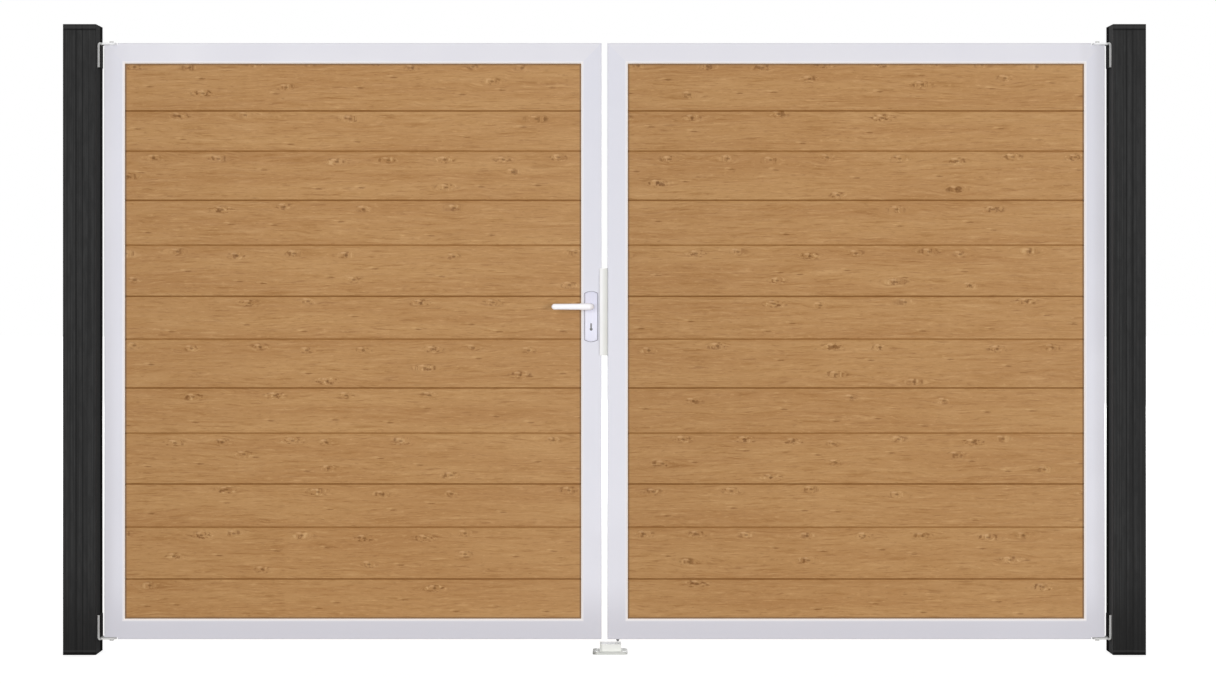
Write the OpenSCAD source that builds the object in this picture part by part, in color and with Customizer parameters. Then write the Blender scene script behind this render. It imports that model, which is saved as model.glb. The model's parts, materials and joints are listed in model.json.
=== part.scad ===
// Double gate: two framed board leaves hung between square posts.
// X runs along the gate, Y goes from the front to the back, Z is up.
// The origin is the centre of the left post's underside. The leaves open to +Y.

/* [Gateway] */
// Clear width between the posts
clear_opening = 3042; // [2400:2:4000]
// Gap between a post and its leaf
post_gap = 19; // [18:1:30]
// Gap between the two leaves
centre_gap = 18; // [18:1:30]
// Height of the leaves' underside above the ground
ground_gap = 43; // [40:1:80]
// Height of a leaf
leaf_h = 1790; // [1500:10:2200]

/* [Posts] */
// Width of the square post
post_w = 99; // [80:1:150]
// Wall thickness of the post tube
post_wall = 3; // [2:0.5:6]
// Radius of the post's long edges
post_edge_r = 3; // [1:0.5:6]
// Height of the post above the leaf's top edge
post_rise = 54; // [20:1:200]
// Width of the flute down the post's front and back
flute_w = 20; // [8:1:40]
// Depth of the flute
flute_depth = 1.5; // [0.5:0.1:1.8]
// Thickness of the cap over the post's end
cap_t = 16; // [6:1:40]
// Depth of the cap's plug inside the tube
cap_plug = 30; // [15:1:80]
// Thickness of the foot plate
foot_t = 8; // [5:1:20]
// Height of the foot's socket inside the tube
foot_socket_h = 120; // [60:5:250]
// Wall thickness of the cap's plug and the foot's socket
insert_wall = 4; // [3:0.5:6]
// Play between the tube and what slides into it
insert_play = 0.5; // [0.2:0.1:1]
// Spacing of the anchor holes in a foot
anchor_spacing = 52; // [40:1:60]
// Diameter of an anchor hole
anchor_d = 12; // [8:1:14]

/* [Leaf frame] */
// Width of the frame bar, seen from the front
bar_w = 61; // [50:1:90]
// Depth of the frame bar, front to back
bar_d = 40; // [36:1:60]
// Wall thickness of the frame bar
bar_wall = 2.5; // [1.5:0.5:4]
// Depth of the channel that holds the boards
channel_depth = 14; // [8:1:16]
// Width of the bevel along the frame's inner edge
lip_bevel_w = 4; // [2:0.5:6]
// Depth of that bevel
lip_bevel_d = 3; // [1:0.5:4]
// Bevel of the frame's outer edges
outer_bevel = 1.5; // [0.5:0.5:2]

/* [Boards] */
// Thickness of a board
board_t = 24; // [18:1:28]
// How far the joints stand above an even split of the frame
joint_shift = 5.5; // [0:0.5:20]
// Usual height of the V groove above the board's lower edge
groove_rise = 129; // [60:1:150]
// Width of the V grooves and of the bevelled joints
groove_w = 6; // [3:0.5:10]
// Depth of the V grooves
groove_depth = 3; // [1.5:0.5:5]
// Height of the tongue along a board's top edge
tongue_h = 8; // [5:1:15]
// Thickness of the tongue
tongue_t = 8; // [5:1:12]
// Play around a tongue
tongue_play = 0.5; // [0.2:0.1:1]
// Gap at a board's ends, for movement
board_end_gap = 2; // [1:0.5:5]

/* [Hinges] */
// Distance of the hinge pin from the leaf's outer edge
pin_inset = 18; // [15:1:20]
// Diameter of the hinge pin
pin_d = 10; // [8:1:14]
// Radial play of the pin in its block
pin_play = 0.05; // [0.02:0.01:0.1]
// Length of the pin inside its block
pin_reach = 40; // [25:1:60]
// Diameter of the pin's head
pin_head_d = 12; // [10:1:18]
// Height of the pin's head
pin_head_h = 5; // [3:1:8]
// Thickness of the hinge strap
strap_t = 6; // [4:0.5:8]
// Width of the strap's plate on the post
strap_plate_w = 50; // [40:1:56]
// Height of the strap's plate on the post
strap_plate_h = 75; // [50:1:120]
// Width of the strap's arm
strap_arm_w = 30; // [24:1:32]
// Outer radius of the strap's bend
strap_bend_r = 8; // [7:0.5:10]
// How far the arm stands beyond the leaf's edge
strap_proud = 2; // [0:0.5:3]
// Thickness of the collar that the leaf turns on
collar_t = 2; // [1:0.5:4]
// Diameter of that collar
collar_d = 16; // [15:1:22]
// Depth of the notch in the leaf's corner
notch_depth = 18; // [16:1:24]
// Free space around the arm in the notch
notch_space = 7; // [5:0.5:10]
// Length of the block's arms inside the frame bars
cleat_reach = 40; // [20:1:80]

/* [Lock] */
// Height of the lever above the ground
lever_z = 1042; // [900:1:1200]
// Distance of the lever from the leaf's edge
lock_inset = 31; // [26:1:34]
// Width of the handle plate
plate_w = 37.5; // [32:0.5:40]
// Height of the handle plate
plate_h = 150; // [140:1:260]
// Rise of the plate's arched ends
plate_arch = 6; // [3:0.5:10]
// Thickness of the handle plate
plate_t = 8; // [4:1:12]
// Height of the lever above the plate's middle
lever_above_plate = 30; // [15:1:40]
// Length of the lever from its turning axis
lever_len = 118; // [90:1:150]
// Height of the lever's grip at its tip
grip_h = 18; // [14:0.5:24]
// Height of the lever's grip at its neck
grip_neck_h = 20; // [16:0.5:28]
// Thickness of the lever's grip
grip_t = 14; // [10:1:20]
// Diameter of the lever's neck
neck_d = 18; // [12:1:20]
// Distance between the plate and the grip
grip_standoff = 32; // [25:1:60]
// Radial play of the lever's neck in the plate
neck_play = 0.05; // [0.02:0.01:0.1]
// Width of the square spindle
spindle_w = 8; // [6:1:10]
// Free space around the spindle's corners
spindle_space = 0.8; // [0.5:0.1:2]
// Distance of the key's centre below the lever
key_drop = 68; // [50:1:80]
// Diameter of the keyhole's round end
key_d = 9; // [6:0.5:12]
// Width of the keyhole's slot
key_slot_w = 5; // [3:0.5:6]
// Height of the slot above the key's centre
key_slot_h = 18; // [12:1:24]
// Free space around the keyhole, in the stile
key_space = 3; // [1:0.5:5]
// How far the key cylinder lies below the plate's face
key_recess = 1; // [0:0.5:3]
// Width of the lock's faceplate
faceplate_w = 22; // [18:1:28]
// Height of the lock's faceplate
faceplate_h = 235; // [200:1:280]
// Thickness of the lock's case
case_t = 16; // [12:1:20]
// Height of the lock's case
case_h = 180; // [150:1:190]
// Gap between the lock's case and the stile's far wall
case_gap = 2; // [1:0.5:5]

/* [Keep] */
// Height of the keep's middle above the ground
keep_z = 1026; // [950:1:1100]
// Height of the keep
keep_h = 262; // [200:1:320]
// Free space between the keep and the other leaf
keep_space = 6; // [5:0.5:8]
// Depth of the keep, behind the leaf's middle
keep_back = 14; // [10:1:18]
// Thickness of the stop strip at its edges
strip_t = 3; // [2:0.5:5]
// Rise of the strip's arched front
strip_arch = 3; // [1:0.5:4]
// Free space between the strip and the other leaf
strip_space = 5; // [5:0.5:8]
// How far the strip laps over the other leaf
strip_lap = 5.5; // [2:0.5:8]
// Depth of the keep's pockets
pocket_depth = 9; // [6:0.5:10]
// Width of the keep's pockets
pocket_w = 18; // [12:1:20]
// Height of the latch's pocket
latch_pocket_h = 34; // [24:1:40]
// Height of the dead bolt's pocket
bolt_pocket_h = 44; // [30:1:60]

/* [Drop bolt] */
// Diameter of the drop bolt
bolt_d = 10; // [8:1:14]
// Height of the bolt's tip above the ground when it is up
bolt_tip_z = 34; // [34:1:38]
// Length of the bolt's tapered tip
bolt_taper = 5; // [3:1:8]
// Travel of the bolt
bolt_travel = 24; // [15:1:25]
// Height of the bolt's knob above the ground
knob_z = 620; // [500:5:900]
// Diameter of the knob
knob_d = 22; // [18:1:30]
// Length of the knob
knob_len = 14; // [8:1:20]
// Gap between the knob and the frame
knob_gap = 6; // [5:1:12]
// Diameter of the knob's stem
stem_d = 8; // [6:1:10]
// Free space around the stem in its slot
stem_space = 2; // [1:0.5:3]
// Radial play of the bolt in its guides
bolt_play = 0.05; // [0.02:0.01:0.1]
// Outer diameter of the lower guide
guide_d = 20; // [17:1:24]
// Height of the lower guide
guide_h = 30; // [20:1:36]
// Height of the upper guide above the ground
upper_guide_z = 450; // [300:5:560]
// Thickness of the upper guide
upper_guide_t = 20; // [10:1:40]

/* [Bolt receiver] */
// Thickness of the receiver's base
base_t = 7; // [4:0.5:8]
// Width of the base, along the gate
base_w = 104; // [96:1:140]
// Depth of the base, front to back
base_d = 84; // [80:1:120]
// How far the base's middle lies in front of the leaf's
base_forward = 1; // [0:1:10]
// Radius of the base's corners
base_corner_r = 14; // [6:1:16]
// How far the base's middle lies left of the block's
base_left = 1; // [0:1:4]
// Height of the receiver's block over the base
block_h = 22; // [15:1:22]
// Width of the block, along the gate
block_w = 64; // [50:1:66]
// Depth of the block, front to back
block_d = 56; // [40:1:60]
// Wall between the bolt's pocket and the block's side
block_side_wall = 3; // [3:0.5:8]
// Free space around the bolt in its pocket
bolt_pocket_space = 2; // [1.5:0.5:4]
// Spacing of the base's screw holes, along the gate
base_hole_x = 84; // [80:1:110]
// Spacing of the base's screw holes, front to back
base_hole_y = 62; // [50:1:90]
// Diameter of the base's screw holes
base_hole_d = 7; // [5:0.5:9]

/* [Hidden] */
$fn = 64;
eps = 1;                  // how far a cutting shape runs past the face it cuts
post_pitch = clear_opening + post_w;
gate_x = post_pitch / 2;  // the middle of the gateway
leaf_w = (clear_opening - 2 * post_gap - centre_gap) / 2;
leaf_x = post_w / 2 + post_gap;
leaf_top = ground_gap + leaf_h;
post_h = leaf_top + post_rise;
tube_h = post_h - cap_t - foot_t;
tube_inner = post_w - 2 * post_wall;
insert_w = tube_inner - 2 * insert_play;

box_w = bar_w - channel_depth;             // closed part of the bar's section
chamber_w = box_w - 2 * bar_wall;          // hollow of the bar, across the bar
chamber_d = bar_d - 2 * bar_wall;          // hollow of the bar, front to back
board_count = 6;
// How far each board's V groove stands above its usual height, lowest board first
groove_offsets = [-2, 1, 7, 0, 6, -8];
stack_z = ground_gap + box_w;
stack_h = leaf_h - 2 * box_w;
board_pitch = stack_h / board_count;
board_x = leaf_x + box_w + board_end_gap;
board_len = leaf_w - 2 * box_w - 2 * board_end_gap;

pin_x = leaf_x + pin_inset;
notch_w = pin_inset + strap_arm_w / 2 + notch_space;
arm_under = strap_t - strap_proud;         // arm's inner face, below the leaf's edge
block_top = arm_under + collar_t;          // block's face, below the leaf's edge

leaf_edge = leaf_x + leaf_w;
lock_x = leaf_edge - lock_inset;
plate_z = lever_z - lever_above_plate;
key_z = lever_z - key_drop;
face = bar_d / 2;                          // the leaf's front or back face
spindle_hole_r = spindle_w / sqrt(2) + spindle_space;

keep_x = leaf_edge + keep_space;
keep_w = centre_gap - keep_space;
keep_bottom = keep_z - keep_h / 2;
keep_front = face + strip_space;           // the keep's front face, and the strip's back

bolt_x = 2 * gate_x - lock_x;
knob_face = face + knob_gap;
pocket_half = bolt_d / 2 + bolt_pocket_space;
block_right = bolt_x + pocket_half + block_side_wall;
base_x = block_right - block_w / 2 - base_left;

metal = [0.86, 0.86, 0.89];
anthracite = [0.2, 0.2, 0.2];
oak = [0.70, 0.53, 0.35];
hardware = [0.75, 0.76, 0.74];
bright = [0.93, 0.93, 0.94];
dark = [0.15, 0.15, 0.15];

// ---- helpers ----

// Puts a left-hand piece on the right-hand side of the gate
module right_side() {
    translate([2 * gate_x, 0, 0]) mirror([1, 0, 0]) children();
}

// Puts a piece made for the leaf's top corner at its bottom corner
module bottom_side() {
    translate([0, 0, leaf_top + ground_gap]) mirror([0, 0, 1]) children();
}

// A box from its low corner to its high corner
module block(low, high) {
    translate(low) cube(high - low);
}

// A rectangle about the origin with round corners
module round_rect(w, d, r) {
    square([w - 2 * r, d], center = true);
    square([w, d - 2 * r], center = true);
    for (sx = [-1, 1], sy = [-1, 1])
        translate([sx * (w / 2 - r), sy * (d / 2 - r)]) circle(r);
}

// A bar along Y with its outline given in X and Z
module along_y(y_low, y_high) {
    translate([0, y_high, 0]) rotate([90, 0, 0]) linear_extrude(y_high - y_low) children();
}

// ---- posts ----

module post() {
    color(anthracite) translate([0, 0, foot_t]) linear_extrude(tube_h) difference() {
        round_rect(post_w, post_w, post_edge_r);
        square(tube_inner, center = true);
        for (side = [-1, 1])
            translate([0, side * (post_w / 2 - flute_depth / 2 + eps / 2)])
                square([flute_w, flute_depth + eps], center = true);
    }
}

module post_cap() {
    color(anthracite) translate([0, 0, post_h - cap_t]) {
        linear_extrude(cap_t) round_rect(post_w, post_w, post_edge_r);
        translate([0, 0, -cap_plug]) linear_extrude(cap_plug) difference() {
            square(insert_w, center = true);
            square(insert_w - 2 * insert_wall, center = true);
        }
    }
}

module post_foot() {
    color(anthracite) difference() {
        union() {
            linear_extrude(foot_t) round_rect(post_w, post_w, post_edge_r);
            translate([0, 0, foot_t]) linear_extrude(foot_socket_h) difference() {
                square(insert_w, center = true);
                square(insert_w - 2 * insert_wall, center = true);
            }
        }
        for (sx = [-1, 1], sy = [-1, 1])
            translate([sx * anchor_spacing / 2, sy * anchor_spacing / 2, -eps])
                cylinder(d = anchor_d, h = foot_t + 2 * eps);
    }
}

// ---- hinges ----

// The strap's L-shaped side view in X and Z, with its outer corner at the top left
module strap_side() {
    arm_end = pin_x + strap_arm_w / 2;
    top = leaf_top + strap_proud;
    left = post_w / 2;
    difference() {
        union() {
            translate([left, top - strap_plate_h])
                square([strap_t, strap_plate_h - strap_bend_r]);
            translate([left + strap_bend_r, top - strap_t])
                square([arm_end - left - strap_bend_r, strap_t]);
            translate([left + strap_bend_r, top - strap_bend_r]) intersection() {
                circle(strap_bend_r);
                translate([-strap_bend_r, 0]) square(strap_bend_r);
            }
        }
        translate([left + strap_bend_r, top - strap_bend_r]) circle(strap_bend_r - strap_t);
    }
}

// The strap's outline from above: a wide plate, then the round-ended arm
module strap_plan() {
    bend_end = post_w / 2 + strap_bend_r;
    translate([post_w / 2, -strap_plate_w / 2]) square([strap_bend_r, strap_plate_w]);
    translate([bend_end, -strap_arm_w / 2]) square([pin_x - bend_end, strap_arm_w]);
    translate([pin_x, 0]) circle(d = strap_arm_w);
}

// The top left strap with its pin; the pin's collar carries the leaf
module hinge_strap() {
    color(hardware) {
        intersection() {
            along_y(-strap_plate_w / 2, strap_plate_w / 2) strap_side();
            translate([0, 0, leaf_top + strap_proud - strap_plate_h])
                linear_extrude(strap_plate_h) strap_plan();
        }
        translate([pin_x, 0, leaf_top + strap_proud]) cylinder(d = pin_head_d, h = pin_head_h);
        translate([pin_x, 0, leaf_top - block_top]) cylinder(d = collar_d, h = collar_t);
        translate([pin_x, 0, leaf_top - block_top - pin_reach])
            cylinder(d = pin_d, h = pin_reach + block_top + strap_proud);
    }
}

// The notch that a strap's arm turns in, at the leaf's top left corner
module hinge_notch() {
    block([leaf_x - eps, -face - eps, leaf_top - notch_depth],
          [leaf_x + notch_w, face + eps, leaf_top + eps]);
}

// The corner block that holds the pin and joins the stile to the rail
module hinge_block() {
    inner = chamber_d / 2;
    notch_z = leaf_top - notch_depth;
    cleat_x = leaf_x + bar_wall;
    cleat_z = leaf_top - bar_wall;
    difference() {
        union() {
            block([leaf_x, -face, notch_z],
                  [leaf_x + notch_w, face, leaf_top - block_top]);
            block([cleat_x, -inner, cleat_z - chamber_w - cleat_reach],
                  [cleat_x + chamber_w, inner, notch_z]);
            block([leaf_x + notch_w, -inner, cleat_z - chamber_w],
                  [cleat_x + chamber_w + cleat_reach, inner, cleat_z]);
        }
        translate([pin_x, 0, leaf_top - block_top - pin_reach - eps])
            cylinder(r = pin_d / 2 + pin_play, h = pin_reach + block_top + 2 * eps);
    }
}

// The hinge blocks at both corners of a leaf
module hinge_blocks() {
    color(hardware) {
        hinge_block();
        bottom_side() hinge_block();
    }
}

// ---- leaf frames ----

// The frame bar's section; its outer edge is at 0 and the boards' edge at bar_w
module bar_section() {
    half = [
        [0, face - outer_bevel], [outer_bevel, face], [bar_w - lip_bevel_w, face],
        [bar_w, face - lip_bevel_d], [bar_w, board_t / 2], [box_w, board_t / 2]
    ];
    other_half = [for (i = [len(half) - 1:-1:0]) [half[i][0], -half[i][1]]];
    difference() {
        polygon(concat(half, other_half));
        translate([bar_wall, -chamber_d / 2]) square([chamber_w, chamber_d]);
    }
}

// A mitred bar along X, with its outer edge at z = 0
module mitred_bar(length) {
    intersection() {
        rotate([0, 90, 0]) linear_extrude(length) mirror([1, 0]) bar_section();
        along_y(-face - eps, face + eps)
            polygon([[0, 0], [length, 0], [length - bar_w, bar_w], [bar_w, bar_w]]);
    }
}

module bottom_rail_bar() {
    translate([leaf_x, 0, ground_gap]) mitred_bar(leaf_w);
}

module top_rail_bar() {
    bottom_side() bottom_rail_bar();
}

module hinge_stile_bar() {
    translate([leaf_x, 0, ground_gap]) mirror([1, 0, 0]) rotate([0, -90, 0]) mitred_bar(leaf_h);
}

module centre_stile_bar() {
    translate([leaf_edge, 0, ground_gap]) rotate([0, -90, 0]) mitred_bar(leaf_h);
}

module hinge_stile() {
    color(metal) difference() {
        hinge_stile_bar();
        hinge_notch();
        bottom_side() hinge_notch();
    }
}

module top_rail() {
    color(metal) difference() {
        top_rail_bar();
        hinge_notch();
    }
}

module bottom_rail() {
    color(metal) difference() {
        bottom_rail_bar();
        bottom_side() hinge_notch();
    }
}

// The stile on the opening side, cut for the lock
module lock_stile() {
    color(metal) difference() {
        centre_stile_bar();
        translate([lock_x, 0, lever_z]) rotate([90, 0, 0])
            cylinder(d = neck_d, h = bar_d + 2 * eps, center = true);
        block([lock_x - key_d / 2 - key_space, -face - eps, key_z - key_d / 2 - key_space],
              [lock_x + key_d / 2 + key_space, face + eps, key_z + key_slot_h + key_space]);
        block([leaf_edge - bar_wall - eps, -faceplate_w / 2, plate_z - faceplate_h / 2],
              [leaf_edge + eps, faceplate_w / 2, plate_z + faceplate_h / 2]);
    }
}

// The other leaf's stile, with the slot for the drop bolt's knob in its back
module meeting_stile() {
    slot_half = stem_d / 2 + stem_space;
    color(metal) difference() {
        right_side() centre_stile_bar();
        block([bolt_x - slot_half, face - bar_wall - eps, knob_z - bolt_travel - slot_half],
              [bolt_x + slot_half, face + eps, knob_z + slot_half]);
    }
}

// The other leaf's bottom rail, bored for the drop bolt's lower guide
module bored_bottom_rail() {
    color(metal) difference() {
        right_side() bottom_rail();
        translate([bolt_x, 0, ground_gap - eps]) cylinder(d = guide_d, h = bar_wall + 2 * eps);
    }
}

// ---- boards ----

function joint_z(n) = stack_z + n * board_pitch + joint_shift;

// The V groove that runs along a board's face, in Y and Z
module v_groove(z) {
    for (side = [-1, 1])
        polygon([
            [side * board_t / 2, z - groove_w / 2],
            [side * (board_t / 2 - groove_depth), z],
            [side * board_t / 2, z + groove_w / 2]
        ]);
}

// A rectangle between two heights, in Y and Z, centred on the leaf
module upright(thickness, low, high) {
    polygon([
        [-thickness / 2, low],
        [thickness / 2, low],
        [thickness / 2, high],
        [-thickness / 2, high]
    ]);
}

// A board's end view in Y and Z: lowest and highest boards are cut square to fit the frame
module board_end(number) {
    first = number == 1;
    last = number == board_count;
    low = first ? stack_z : joint_z(number - 1);
    high = last ? stack_z + stack_h : joint_z(number);
    difference() {
        union() {
            upright(board_t, low, high);
            if (!last)
                upright(tongue_t, high, high + tongue_h);
        }
        if (!first) {
            v_groove(low);
            upright(tongue_t + 2 * tongue_play, low, low + tongue_h + tongue_play);
        }
        if (!last)
            v_groove(high);
        v_groove(joint_z(number - 1) + groove_rise + groove_offsets[number - 1]);
    }
}

module board(number) {
    color(oak) translate([board_x, 0, 0]) rotate([90, 0, 90])
        linear_extrude(board_len) board_end(number);
}

// ---- lock ----

// The handle plate's outline in X and Z, with arched ends
module plate_outline() {
    arch_r = (pow(plate_w / 2, 2) + pow(plate_arch, 2)) / (2 * plate_arch);
    translate([lock_x, plate_z]) intersection() {
        square([plate_w, plate_h], center = true);
        union() {
            square([plate_w, plate_h - 2 * plate_arch], center = true);
            for (side = [-1, 1])
                translate([0, side * (plate_h / 2 - arch_r)]) circle(arch_r);
        }
    }
}

// The keyhole in X and Z: round below, with its slot above
module key_outline() {
    translate([lock_x, key_z]) {
        circle(d = key_d);
        translate([-key_slot_w / 2, 0]) square([key_slot_w, key_slot_h]);
    }
}

// The front handle plate
module handle_plate() {
    color(bright) along_y(-face - plate_t, -face) difference() {
        plate_outline();
        translate([lock_x, lever_z]) circle(neck_d / 2 + neck_play);
        key_outline();
    }
}

module lock_case() {
    case_x = leaf_edge - bar_wall - chamber_w + case_gap;
    color(hardware) difference() {
        union() {
            block([leaf_edge - bar_wall, -faceplate_w / 2, plate_z - faceplate_h / 2],
                  [leaf_edge, faceplate_w / 2, plate_z + faceplate_h / 2]);
            block([case_x, -case_t / 2, plate_z - case_h / 2],
                  [leaf_edge - bar_wall, case_t / 2, plate_z + case_h / 2]);
        }
        translate([lock_x, 0, lever_z]) rotate([90, 0, 0])
            cylinder(r = spindle_hole_r, h = case_t + 2 * eps, center = true);
        along_y(-case_t, case_t) key_outline();
    }
}

module key_cylinder() {
    color(dark) along_y(-face - plate_t + key_recess, face + plate_t - key_recess) key_outline();
}

// The front lever, pointing to the hinges
module lever() {
    grip_y = -face - plate_t - grip_standoff;
    tip_x = -lever_len + grip_h / 2;
    color(bright) {
        translate([lock_x, -face, lever_z]) rotate([90, 0, 0])
            cylinder(d = neck_d, h = plate_t + grip_standoff);
        along_y(grip_y - grip_t, grip_y) translate([lock_x, lever_z]) {
            circle(d = grip_neck_h);
            translate([tip_x, 0]) circle(d = grip_h);
            polygon([[0, -grip_neck_h / 2], [0, grip_neck_h / 2],
                     [tip_x, grip_h / 2], [tip_x, -grip_h / 2]]);
        }
    }
}

module lever_spindle() {
    color(hardware) translate([lock_x, 0, lever_z])
        cube([spindle_w, bar_d, spindle_w], center = true);
}

// ---- keep, on the other leaf's edge ----

module keep_pocket(z, height) {
    block([keep_x - eps, -pocket_w / 2, z - height / 2],
          [keep_x + pocket_depth, pocket_w / 2, z + height / 2]);
}

module lock_keep() {
    color(hardware) difference() {
        block([keep_x, -keep_front, keep_bottom],
              [keep_x + keep_w, keep_back, keep_bottom + keep_h]);
        keep_pocket(lever_z, latch_pocket_h);
        keep_pocket(key_z, bolt_pocket_h);
    }
}

// The stop strip on the keep's front, arched across its width
module keep_strip() {
    half_w = (keep_x + keep_w - leaf_edge + strip_lap) / 2;
    arch_r = (pow(half_w, 2) + pow(strip_arch, 2)) / (2 * strip_arch);
    color(bright) translate([keep_x + keep_w - half_w, -keep_front, keep_bottom])
        linear_extrude(keep_h) {
            translate([-half_w, -strip_t]) square([2 * half_w, strip_t]);
            intersection() {
                translate([0, arch_r - strip_t - strip_arch]) circle(arch_r, $fn = 256);
                translate([-half_w, -strip_t - strip_arch]) square([2 * half_w, strip_arch]);
            }
        }
}

// ---- drop bolt and its receiver ----

module drop_bolt() {
    color(dark) translate([bolt_x, 0, 0]) {
        translate([0, 0, bolt_tip_z]) cylinder(d1 = bolt_d / 2, d2 = bolt_d, h = bolt_taper);
        translate([0, 0, bolt_tip_z + bolt_taper])
            cylinder(d = bolt_d, h = knob_z + bolt_d - bolt_tip_z - bolt_taper);
        translate([0, 0, knob_z]) rotate([-90, 0, 0]) {
            cylinder(d = stem_d, h = knob_face);
            translate([0, 0, knob_face]) cylinder(d = knob_d, h = knob_len);
        }
    }
}

module drop_bolt_guides() {
    chamber_x = 2 * gate_x - leaf_edge + bar_wall;
    color(dark) difference() {
        union() {
            translate([bolt_x, 0, ground_gap]) cylinder(d = guide_d, h = guide_h);
            block([chamber_x, -chamber_d / 2, upper_guide_z],
                  [chamber_x + chamber_w, chamber_d / 2, upper_guide_z + upper_guide_t]);
        }
        translate([bolt_x, 0, ground_gap - eps])
            cylinder(r = bolt_d / 2 + bolt_play, h = upper_guide_z + upper_guide_t);
    }
}

module bolt_receiver() {
    color(hardware) difference() {
        union() {
            translate([base_x, -base_forward, 0])
                linear_extrude(base_t) round_rect(base_w, base_d, base_corner_r);
            block([block_right - block_w, -block_d / 2, base_t],
                  [block_right, block_d / 2, base_t + block_h]);
        }
        block([bolt_x - pocket_half, -pocket_half, base_t],
              [bolt_x + pocket_half, pocket_half, base_t + block_h + eps]);
        for (sx = [-1, 1], sy = [-1, 1])
            translate([base_x + sx * base_hole_x / 2, -base_forward + sy * base_hole_y / 2, -eps])
                cylinder(d = base_hole_d, h = base_t + 2 * eps);
    }
}

post();  // left_post
right_side() post();  // right_post
post_cap();  // left_post_cap
right_side() post_cap();  // right_post_cap
post_foot();  // left_post_foot
right_side() post_foot();  // right_post_foot
hinge_strap();  // left_top_hinge_strap
bottom_side() hinge_strap();  // left_bottom_hinge_strap
right_side() hinge_strap();  // right_top_hinge_strap
right_side() bottom_side() hinge_strap();  // right_bottom_hinge_strap
bolt_receiver();
hinge_stile();  // left_hinge_stile
lock_stile();  // left_lock_stile
top_rail();  // left_top_rail
bottom_rail();  // left_bottom_rail
board(1);  // left_board_1
board(2);  // left_board_2
board(3);  // left_board_3
board(4);  // left_board_4
board(5);  // left_board_5
board(6);  // left_board_6
hinge_blocks();  // left_hinge_blocks
handle_plate();  // front_handle_plate
mirror([0, 1, 0]) handle_plate();  // back_handle_plate
lock_case();
key_cylinder();
right_side() hinge_stile();  // right_hinge_stile
meeting_stile();  // right_meeting_stile
right_side() top_rail();  // right_top_rail
bored_bottom_rail();  // right_bottom_rail
right_side() board(1);  // right_board_1
right_side() board(2);  // right_board_2
right_side() board(3);  // right_board_3
right_side() board(4);  // right_board_4
right_side() board(5);  // right_board_5
right_side() board(6);  // right_board_6
right_side() hinge_blocks();  // right_hinge_blocks
lock_keep();
keep_strip();
drop_bolt_guides();
lever();  // front_lever
mirror([0, 1, 0]) lever();  // back_lever
lever_spindle();
drop_bolt();
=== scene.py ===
"""Looks for the double gate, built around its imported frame."""
import json
import math

import bmesh
import bpy
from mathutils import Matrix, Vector


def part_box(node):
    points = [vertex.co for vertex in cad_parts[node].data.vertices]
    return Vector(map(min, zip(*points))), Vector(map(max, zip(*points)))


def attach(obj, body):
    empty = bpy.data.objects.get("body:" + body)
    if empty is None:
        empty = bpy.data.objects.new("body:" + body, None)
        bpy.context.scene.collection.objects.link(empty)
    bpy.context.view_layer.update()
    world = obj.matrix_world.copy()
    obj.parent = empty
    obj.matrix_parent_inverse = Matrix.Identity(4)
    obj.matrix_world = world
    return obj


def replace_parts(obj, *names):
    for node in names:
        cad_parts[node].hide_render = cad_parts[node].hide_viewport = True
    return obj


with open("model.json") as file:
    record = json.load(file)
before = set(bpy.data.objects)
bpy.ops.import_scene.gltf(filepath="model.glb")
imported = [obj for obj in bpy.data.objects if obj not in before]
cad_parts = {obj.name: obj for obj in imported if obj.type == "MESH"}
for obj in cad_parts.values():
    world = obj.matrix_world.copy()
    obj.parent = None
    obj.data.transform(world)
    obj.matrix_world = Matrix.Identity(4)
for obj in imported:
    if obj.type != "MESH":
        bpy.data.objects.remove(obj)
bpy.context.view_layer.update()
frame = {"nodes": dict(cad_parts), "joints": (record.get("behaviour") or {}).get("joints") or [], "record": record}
nodes = frame["nodes"]
MM = 0.001


# ---- places taken from the frame ----

def joint_place(name):
    """The joint's position, in the row frame."""
    return Vector(next(j["pos_m"] for j in frame["joints"] if j["name"] == name))


LEVER = joint_place("lever_turn")
GATE_X = (joint_place("left_leaf_swing").x + joint_place("right_leaf_swing").x) / 2
LEAF_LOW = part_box("left_hinge_stile")[0]
LEAF_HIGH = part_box("left_top_rail")[1]
LEAF_SPAN = GATE_X - LEAF_LOW.x
LEAF_FACE = LEAF_HIGH.y
BOARD_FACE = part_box("left_board_2")[1].y
BOARD_JOINTS = [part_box("left_board_%d" % number)[0].z for number in range(2, 7)]
PITCH = (BOARD_JOINTS[-1] - BOARD_JOINTS[0]) / (len(BOARD_JOINTS) - 1)
POST_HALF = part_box("left_post")[1].x
POST_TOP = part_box("left_post_cap")[1].z
CAP_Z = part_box("left_post")[1].z
FOOT_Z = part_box("left_post")[0].z
FLUTE_HALF = 10 * MM
RECEIVER_LOW, RECEIVER_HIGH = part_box("bolt_receiver")
# The receiver's base is 7 mm thick, and its block starts 14 mm to the left of the gate's middle
RECEIVER_BASE_TOP = 7 * MM
RECEIVER_BLOCK_LEFT = GATE_X - 14 * MM
# The opening that shows the boards: X measured from the gate's middle, and Z
INNER_X = GATE_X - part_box("left_lock_stile")[0].x
OUTER_X = GATE_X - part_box("left_hinge_stile")[1].x
OPENING_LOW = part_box("left_bottom_rail")[1].z
OPENING_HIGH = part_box("left_top_rail")[0].z
FRONT = Vector((0, -1, 0))
BACK = Vector((0, 1, 0))
LEFT = Vector((-1, 0, 0))
UP = Vector((0, 0, 1))


# ---- colours ----

def linear(value):
    """An sRGB value from 0 to 255 as linear light."""
    v = value / 255
    return v / 12.92 if v <= 0.04045 else ((v + 0.055) / 1.055) ** 2.4


def rgb(r, g, b):
    """A colour from three sRGB values of 0 to 255."""
    return (linear(r), linear(g), linear(b), 1)


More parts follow.
